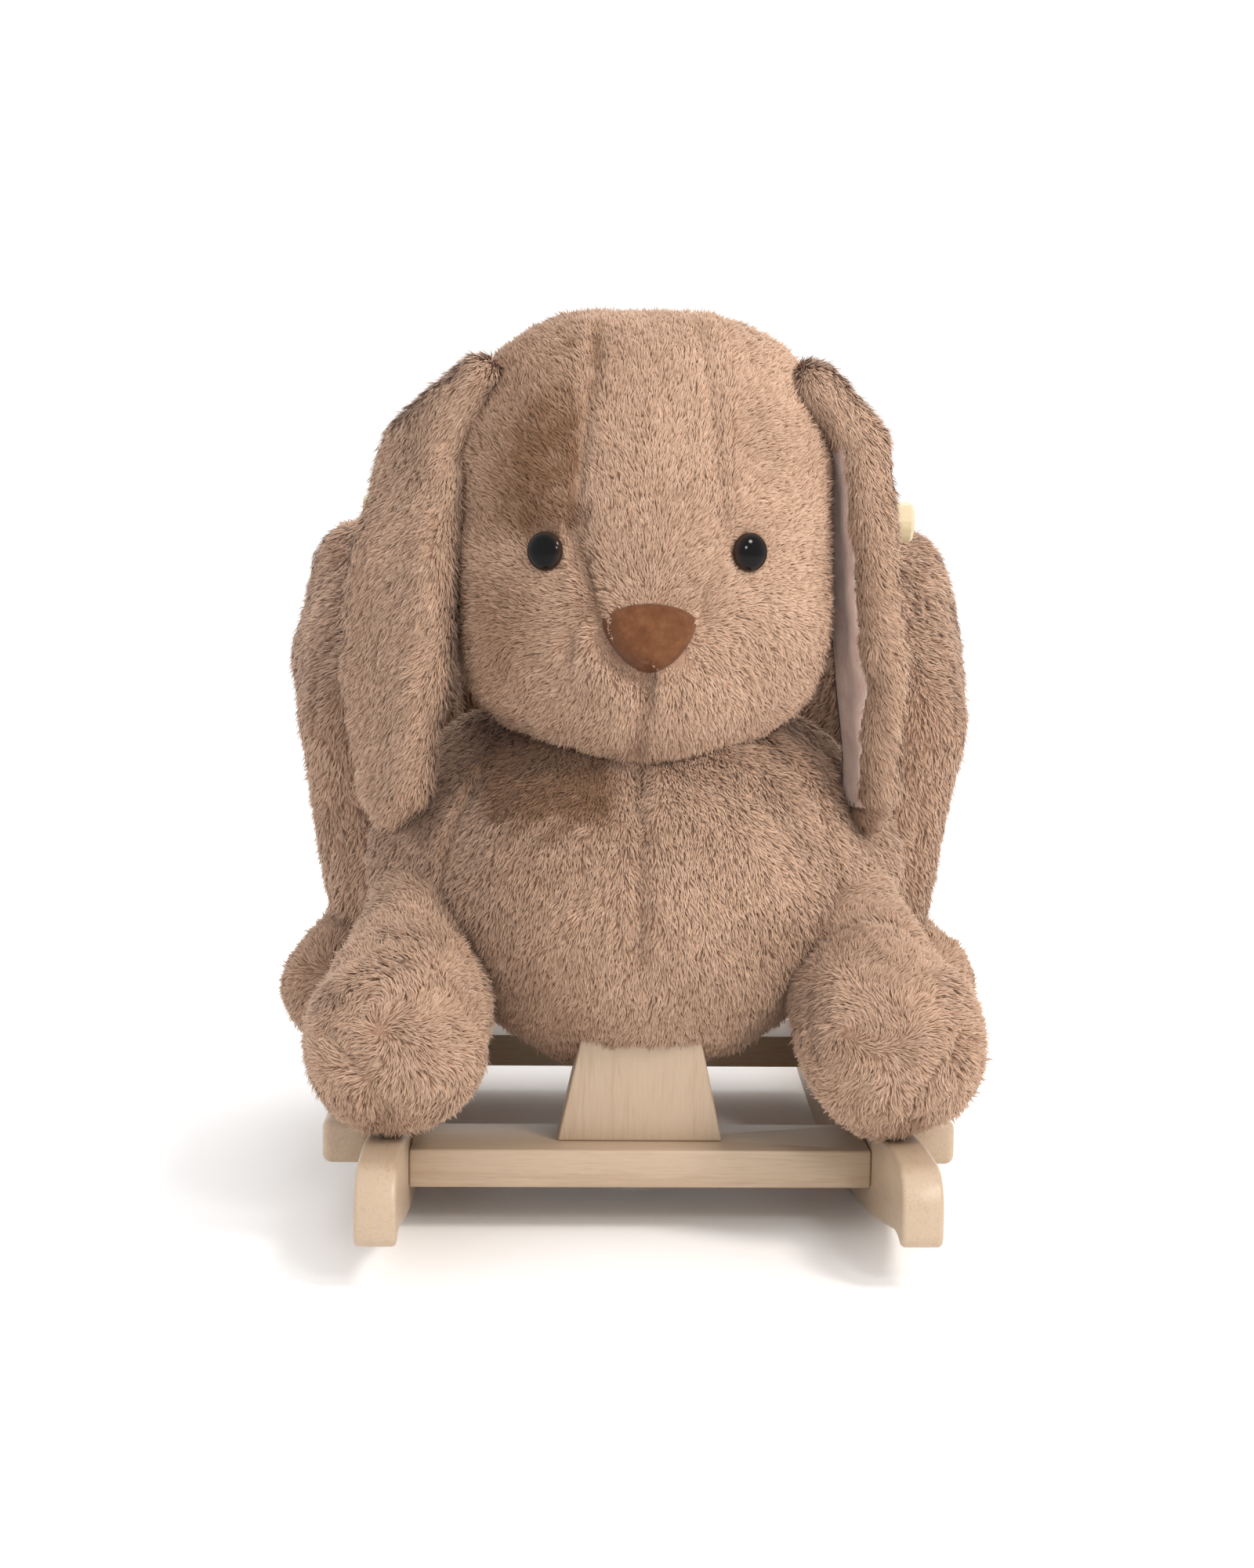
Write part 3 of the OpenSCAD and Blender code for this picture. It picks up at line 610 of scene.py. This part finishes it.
# ---- Hind feet ----------------------------------------------------------------------------------------------
# A short stuffed foot sewn under each wing, pointing forwards along the rocker.
for side, name in ((-1, "right"), (1, "left")):
    foot_form = [((side * 182, -6, 110), 43), ((side * 172, 74, 122), 39)]
    hind = Skin("hind_foot_" + name + "_cover", [within(foot_form)], voxel=3.6, rounds=14)
    hind.lumps(40, 1.2, 31 + side)
    stuffing(hind, BODY, ["hind_foot_" + name])
    pile(hind, "hind_foot_" + name + "_pile", 24000,
         lying(0, 1, -0.3),
         100 + side, BODY, swirl=0.5, keep=lambda p, n: ~inside(p, WINGS[1] + WINGS[-1], 6) * 1.0)

# ---- Seat cushion ---------------------------------------------------------------------------------
# A square foam block under the same plush, sewn in at its sides and back.
CUSHION = [((x, y, z), 30) for x in (-101, 101) for y in (36, 162) for z in (140, 206)]
cushion = Skin("seat_cushion_cover", [within(CUSHION)], voxel=4.5, rounds=12)
cushion.lumps(80, 1.5, 71)
stuffing(cushion, BODY, ["seat_cushion"])
BACKREST = [((105, 202, 394), 42), ((-105, 202, 394), 42), ((100, 195, 156), 39), ((-100, 195, 156), 39),
            ((0, 200.5, 410), 41.5)]
pile(cushion, "seat_cushion_pile", 20000, lying(0, -1, -0.3),
     130, BODY, keep=lambda p, n: (~inside(p, WINGS[1] + WINGS[-1] + TORSO, 6)
                                   * ((p[:, 2] > 0.2) + 0.3) * (n[:, 2] > -0.5)))

# ---- Backrest ---------------------------------------------------------------------------------------
# A thick padded board across the back of the seat, with an arched top.
backrest = Skin("backrest_cover", [within(BACKREST)], voxel=5.5, rounds=10)
backrest.lumps(80, 1.8, 72)
stuffing(backrest, BODY, ["backrest"])
pile(backrest, "backrest_pile", 66000, lying(0, 0, -1),
     140, BODY, keep=lambda p, n: (~inside(p, WINGS[1] + WINGS[-1], 6)
                                   * (0.2 + 0.8 * ((p[:, 2] > 0.2) | (n[:, 1] > 0)))))

# ---- Tail --------------------------------------------------------------------------------------------
# A small stuffed ball sewn to the middle of the seat's back.
tail = Skin("tail_cover", [[((0, 258.4, 184), 31)]], voxel=3.2, rounds=6)
stuffing(tail, BODY, ["tail"])
pile(tail, "tail_pile", 9000, lying(0, 0.3, -1),
     150, BODY, swirl=0.9, keep=lambda p, n: (p[:, 1] > 0.234) * 1.0)

# ---- Head ----------------------------------------------------------------------------------------------
# Two cheek panels and a long middle panel, sewn together and stuffed hard. The seams beside the
# middle panel run from the crown past the inner corner of each eye to the nose, and are pulled tight there.
head = Skin("head_cover", [within([HEAD[0], HEAD[1], HEAD[2], HEAD[3], HEAD[5]]) + [((0, -127, 325), 67.5)]],
            voxel=3.6, rounds=10)
head.lumps(55, 1.1, 9)
FRONT = (0, 1, 0)
EYES = {-1: Vector((-58.2, -175.2, 387)), 1: Vector((56, -176.2, 388))}
seams = []
for side in (-1, 1):
    path = [(28, 515), (31, 490), (34, 465), (37, 440), (40, 418),
            (41, 402), (39, 388), (35, 374), (31, 362), (28, 350)]
    if side < 0:
        path += [(26, 340), (21, 330), (12, 323), (4, 320)]
    line = head.find(0.6, FRONT, [(side * x, 0, z) for x, z in path])
    head.press(line[:6], 4.5 if side < 0 else 2.5, 4.5)
    head.press(line[5:], 11.0 if side < 0 else 3.5, 5.5)
    head.press([np.array(EYES[side]) * MM], 4.5, 15)
    seams.append((line, 0.75 if side < 0 else 0.25))
tuck = head.find(0.6, FRONT, [(x, 0, z) for x, z in ((-31, 356), (-37, 349), (-42, 340), (-44, 330))])
head.press(tuck, 4.0, 4)
head.press(head.find(0.6, FRONT, [(-38, 0, 362), (-46, 0, 356)]), -2.5, 6)
mouth = head.find(0.6, FRONT, [(x, 0, z) for x, z in ((0, 322), (-2, 310), (-4, 298), (-5, 286), (-6, 274))])
head.press(mouth, 7.0, 4.5)
seams += [(tuck, 0.4), (mouth, 0.7)]


stuffing(head, BODY, ["head"])


def face_comb(p, n):
    """The pile lies away from the nose: up the forehead, out over the cheeks and down under the chin."""
    nose = np.array((0, -0.197, 0.345))
    lie = p - nose
    lie[:, 1] *= 0.4
    low = np.clip((0.36 - p[:, 2]) / 0.03, 0, 1)
    lie = unit(lie) + low[:, None] * np.array((0, 0, -0.8))
    lie += 0.35 * np.sign(p[:, :1]) * np.array((1.0, 0, -0.6)) * (np.abs(p[:, :1]) > 0.045)
    return lie


def near_face(p):
    short = np.ones(len(p))
    for side in (-1, 1):
        d = np.linalg.norm(p - np.array(EYES[side]) * MM, axis=1)
        short *= np.clip(0.45 + (d - 10 * MM) / (26 * MM), 0.45, 1)
    d = np.linalg.norm((p - np.array((0, -0.196, 0.338))) * (1, 0.3, 1.2), axis=1)
    return short * np.clip(0.5 + (d - 22 * MM) / (28 * MM), 0.5, 1) * (1 - 0.9 * parting(head, seams, p))


def head_keep(p, n):
    free = ~inside(p, TORSO, 10)
    for side in (-1, 1):
        free &= np.linalg.norm(p - np.array(EYES[side]) * MM, axis=1) > 7.5 * MM
    patch = (np.abs(p[:, 0]) < 0.019) & (np.abs(p[:, 2] - 0.338) < 0.012) & (p[:, 1] < -0.15)
    dense = 0.55 + 0.45 * (p[:, 1] < -0.06)
    return free * ~patch * dense


def head_painted_light_and_shade(p):
    # Painted light and shade: the right forehead beside the middle panel, the right cheek, the lower head under the
    # chin and the seams are painted darker, and the left side a little lighter, as the key lamp lights the rabbit's
    # left.
    edge = 0.0375 + 0.0015 * waves(p, 16 * MM, 901)
    panel_shade_mask = (np.clip((-p[:, 0] - edge) / 0.004, 0, 1) * np.clip((p[:, 2] - 0.388) / 0.012, 0, 1)
             * np.clip((0.1 + p[:, 0]) / 0.035, 0.35, 1) * np.clip((0.5 - p[:, 2]) / 0.05, 0.35, 1)
             * (1 + 0.12 * waves(p, 14 * MM, 905)))
    cheek_shade_mask = np.clip((-p[:, 0] - 0.052) / 0.03, 0, 1) * np.clip((0.385 - p[:, 2]) / 0.03, 0, 1)
    return (-0.58 * panel_shade_mask - 0.30 * cheek_shade_mask + 0.06 * np.clip(p[:, 0] / 0.03, -1, 1)
            - 0.10 * np.clip((0.3 - p[:, 2]) / 0.03, 0, 1) - 0.6 * parting(head, seams, p))


for side, name in ((-1, "right"), (1, "left")):
    pile(head, "head_pile_" + name, 95000, face_comb, 160 + side, BODY, length=6.6, tone_and_painted_shade=head_painted_light_and_shade, shorter=near_face,
         keep=lambda p, n, side=side: head_keep(p, n) * (p[:, 0] * side >= 0))

# ---- Nose ------------------------------------------------------------------------------------------------
# A shield of soft suede, glued over a pinch of the plush, with a short stitched line under it.
suede, suede_shader = surface("caramel_suede", Roughness=0.92, Specular_IOR_Level=0.2, Sheen_Weight=0.12,
                              Sheen_Roughness=0.4)
suede_place = node(suede, "ShaderNodeTexCoord")
nap = node(suede, "ShaderNodeTexNoise", {"Vector": suede_place.outputs["Object"], "Scale": 1 / (9 * MM), "Detail": 6.0,
                                         "Roughness": 0.7})
brown = ramp(node(suede, "ShaderNodeValToRGB", {"Fac": nap.outputs["Fac"]}), (0.3, "#56341f"), (0.5, "#653f27"),
             (0.72, "#764e34"))
join(suede, brown.outputs["Color"], suede_shader.inputs["Base Color"])
grit = node(suede, "ShaderNodeTexNoise", {"Vector": suede_place.outputs["Object"], "Scale": 1 / (0.7 * MM),
                                          "Detail": 3.0})
fuzz = node(suede, "ShaderNodeBump", {"Height": grit.outputs["Fac"], "Strength": 0.5, "Distance": 0.4 * MM})
join(suede, fuzz.outputs["Normal"], suede_shader.inputs["Normal"])

# The shield's edge, in mm from its middle, going round from the top.
edge = [(0, 19), (10, 18), (18, 15.8), (24, 12.5), (25.8, 9), (24.5, 3), (20.5, -4.5), (13.5, -12.5), (5, -18),
        (-1, -19.3), (-8, -17), (-15, -11.5), (-21, -4), (-24.6, 3), (-25.8, 9), (-24, 12.5), (-18, 15.8), (-10, 18)]
rim_line = []
for i in range(len(edge)):
    p0, p1, p2, p3 = (np.array(edge[(i + k) % len(edge)], float) for k in (-1, 0, 1, 2))
    for t in (0, 0.25, 0.5, 0.75):
        rim_line.append(0.5 * (2 * p1 + (p2 - p0) * t + (2 * p0 - 5 * p1 + 4 * p2 - p3) * t * t
                               + (3 * p1 - p0 - 3 * p2 + p3) * t ** 3))
muzzle = BVHTree.FromObject(head.piece, bpy.context.evaluated_depsgraph_get())
nose = bmesh.new()
rings = []
for k in range(11):
    part, ring = k / 10, []
    for x, z in rim_line:
        start = Vector((x * part, -400, 340 + z * part)) * MM
        hit = muzzle.ray_cast(start, Vector((0, 1, 0)))[0]
        swell = 5.0 * (1 - part ** 2.6) ** 0.5
        ring.append(Vector((start.x, hit.y - (1.6 + swell) * MM, start.z)))
        if k == 0:
            break
    rings.append([nose.verts.new(p) for p in ring])
for inner, outer in zip(rings, rings[1:]):
    n = len(outer)
    for i in range(n):
        if len(inner) == 1:
            nose.faces.new((inner[0], outer[i], outer[(i + 1) % n]))
        else:
            nose.faces.new((inner[i], outer[i], outer[(i + 1) % n], inner[(i + 1) % n]))
back = [nose.verts.new(v.co + Vector((0, 4.5 * MM, 0))) for v in rings[-1]]
for i in range(len(back)):
    nose.faces.new((rings[-1][i], back[i], back[(i + 1) % len(back)], rings[-1][(i + 1) % len(back)]))
bmesh.ops.recalc_face_normals(nose, faces=nose.faces)
nose_mesh = bpy.data.meshes.new("nose_shield")
nose.to_mesh(nose_mesh)
nose.free()
nose_mesh.shade_smooth()
nose_mesh.materials.append(suede)
shield = add("nose_shield", nose_mesh)
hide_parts("nose_patch")
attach(shield, BODY)

# ---- Eyes ------------------------------------------------------------------------------------------------
# Safety eyes: a glossy black dome with a smoky rim, on a stem held by a washer inside the head.
eye_glass, eye_shader = surface("glossy_black_plastic", Roughness=0.05, IOR=1.45, Specular_IOR_Level=0.2)
radial = node(eye_glass, "ShaderNodeAttribute", attribute_name="rim")
smoke = ramp(node(eye_glass, "ShaderNodeValToRGB", {"Fac": radial.outputs["Fac"]}), (0.0, "#020202"), (0.72, "#040303"),
             (0.86, "#1b130f"), (1.0, "#3a2a21"))
join(eye_glass, smoke.outputs["Color"], eye_shader.inputs["Base Color"])
EYE_R, EYE_HEIGHT, STEM_R = 11, 6.2, 2.4
for side, name in ((-1, "right"), (1, "left")):
    look = Vector((side * math.sin(math.radians(27)), -math.cos(math.radians(27)), 0))
    dome = bmesh.new()
    profile = [dome.verts.new(Vector((EYE_R * math.sin(a), 0, EYE_HEIGHT * math.cos(a))) * MM)
               for a in np.linspace(0, math.pi / 2, 13)]
    profile += [dome.verts.new(Vector((x, 0, z)) * MM)
                for x, z in ((10.6, -0.9), (9.4, -1.5), (STEM_R, -1.7), (STEM_R, -11), (0, -11))]
    for a, b in zip(profile, profile[1:]):
        dome.edges.new((a, b))
    bmesh.ops.spin(dome, geom=dome.verts[:] + dome.edges[:], cent=(0, 0, 0), axis=(0, 0, 1), steps=40,
                   angle=2 * math.pi, use_merge=True)
    bmesh.ops.remove_doubles(dome, verts=dome.verts, dist=0.01 * MM)
    bmesh.ops.recalc_face_normals(dome, faces=dome.faces)
    mesh = bpy.data.meshes.new("eye_" + name + "_dome")
    turned = look.to_track_quat("Z", "Y").to_matrix().to_4x4()
    turned.translation = EYES[side] * MM - look * 0.6 * MM
    rim = [min(math.hypot(v.co.x, v.co.y) / (EYE_R * MM), 1) for v in dome.verts]
    dome.transform(turned)
    dome.to_mesh(mesh)
    dome.free()
    mesh.shade_smooth()
    mesh.set_sharp_from_angle(angle=math.radians(60))
    mesh.attributes.new("rim", "FLOAT", "POINT").data.foreach_set("value", rim)
    mesh.materials.append(eye_glass)
    eye = add("eye_" + name + "_dome", mesh)
    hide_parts("eye_" + name)
    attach(eye, BODY)

washer, washer_shader = surface("white_washer_plastic", Roughness=0.45)
washer_place = node(washer, "ShaderNodeTexCoord")
mottle = node(washer, "ShaderNodeTexNoise", {"Vector": washer_place.outputs["Object"], "Scale": 1 / (3 * MM),
                                             "Detail": 2.0})
milky = ramp(node(washer, "ShaderNodeValToRGB", {"Fac": mottle.outputs["Fac"]}), (0.35, "#dcdcda"), (0.65, "#ececea"))
join(washer, milky.outputs["Color"], washer_shader.inputs["Base Color"])
nodes["eye_washers"].material_slots[0].material = washer

# ---- Ears --------------------------------------------------------------------------------------------------
# Two long flat ears of plush, each lined on its inner side with a strip of smooth short cloth. Each is
# sewn to the head along a folded root, so it can be swung up and out.
lining, lining_shader = surface("brushed_lining_cloth", Roughness=0.92, Sheen_Weight=0.3, Sheen_Roughness=0.4)
lining_place = node(lining, "ShaderNodeTexCoord")
brushed = node(lining, "ShaderNodeTexNoise", {"Vector": lining_place.outputs["Object"], "Scale": 1 / (9 * MM),
                                              "Detail": 5.0, "Roughness": 0.65})
rose = ramp(node(lining, "ShaderNodeValToRGB", {"Fac": brushed.outputs["Fac"]}), (0.3, "#cdb1a5"), (0.55, "#dcc3b7"),
            (0.75, "#e6d1c6"))
join(lining, rose.outputs["Color"], lining_shader.inputs["Base Color"])
fleece = node(lining, "ShaderNodeTexNoise", {"Vector": lining_place.outputs["Object"], "Scale": 1 / (0.8 * MM),
                                             "Detail": 3.0})
nap_bump = node(lining, "ShaderNodeBump", {"Height": fleece.outputs["Fac"], "Strength": 0.6, "Distance": 0.5 * MM})
join(lining, nap_bump.outputs["Normal"], lining_shader.inputs["Normal"])

for side, name, twist, splay in ((-1, "right", 46, 13), (1, "left", -10, 1)):
    hinge = Vector((side * 96.32, -100, 486.2))
    out_at = Vector((side * 134.3, -100, 486.2))
    turned = Matrix.Rotation(math.radians(-side * twist), 4, "Z")

    def spot(x, y, z):
        return tuple(out_at + turned @ Vector((x, y, z)))

    top_pair = [(spot(-side * 12, y, -34), 14.0) for y in (-17, 17)]
    root = [((hinge.x, hinge.y + y, hinge.z), 11.5) for y in (-22, 22)]
    blade = top_pair + [(spot(side * (2 + splay), y, -169), 11.5) for y in (-27, 27)]
    # The left ear is narrower halfway down, where the handle's end shows beside it.
    middle_x, middle_r = (side * (0.7 * splay - 1), 13.0) if side < 0 else (0.7 * splay - 6, 12.0)
    blade += [(spot(middle_x, y, -98), middle_r) for y in (-24, 24)]
    blade += [(spot(side * (2 + splay), y, z), 11.5) for y, z in ((-13, -237), (13, -237), (0, -250.5))]
    ear = Skin("ear_" + name + "_cover", [root + top_pair, blade], voxel=3.0, rounds=8)
    # The cloth's front edge is rolled inwards, which is left out here; a soft hollow runs down the middle of the lined
    # side.
    local = (ear.at / MM - np.array(out_at)) @ np.array(turned.to_3x3())
    hollow = (np.exp(-(local[:, 1] / 15) ** 2) * np.clip((-local[:, 2] - 20) / 50, 0, 1)
              * np.clip((253 + local[:, 2]) / 40, 0, 1))
    lined_side = side * (ear.out @ np.array(turned.to_3x3()))[:, 0] < -0.3
    ear.at += ear.out * ((-4.0 * hollow * lined_side))[:, None] * MM
    ear.write()
    ear.lumps(45, 1.2, 51 + side)
    body = "ear_" + name
    stuffing(ear, body, [body])

    def facing_in(p, n, side=side, turned=turned, out_at=out_at):
        at = (p / MM - np.array(out_at)) @ np.array(turned.to_3x3())
        inner = side * (n @ np.array(turned.to_3x3()))[:, 0] < -0.45
        wide = np.where(at[:, 2] > -169, 27 + 3 * (at[:, 2] + 60) / -109, 30 - 12 * (at[:, 2] + 169) / -76)
        return inner & (np.abs(at[:, 1]) < wide - 3) & (at[:, 2] < -34) & (at[:, 2] > -246)

    def ear_comb(p, n, side=side):
        lie = np.zeros_like(p)
        lie[:, 2] = -1
        lie[:, 0] = side * 0.6
        return lie

    pile(ear, "ear_" + name + "_pile", 56000, ear_comb, 170 + side, body, length=8.0, swirl=0.3, lift=(24, 8),
         keep=lambda p, n: ~facing_in(p, n) * ~inside(p, [HEAD[5], HEAD[0], HEAD[1]], 12) * 1.0)

    # The lining lies on the ear's inner side, a millimetre above the ground cloth.
    strip = bmesh.new()
    strip.from_mesh(ear.piece.data)
    strip.verts.ensure_lookup_table()
    centre = np.array([f.calc_center_median() for f in strip.faces])
    normal = np.array([f.normal for f in strip.faces])
    lined = facing_in(centre, normal)
    bmesh.ops.delete(strip, geom=[f for f, kept in zip(strip.faces[:], lined) if not kept], context="FACES")
    for v in strip.verts:
        v.co += v.normal * 1.2 * MM
    bmesh.ops.solidify(strip, geom=strip.faces[:], thickness=1.0 * MM)
    mesh = bpy.data.meshes.new("ear_lining_" + name + "_cloth")
    strip.to_mesh(mesh)
    strip.free()
    mesh.shade_smooth()
    mesh.materials.clear()
    mesh.materials.append(lining)
    cloth_piece = add("ear_lining_" + name + "_cloth", mesh)
    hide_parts("ear_lining_" + name)
    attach(cloth_piece, body)
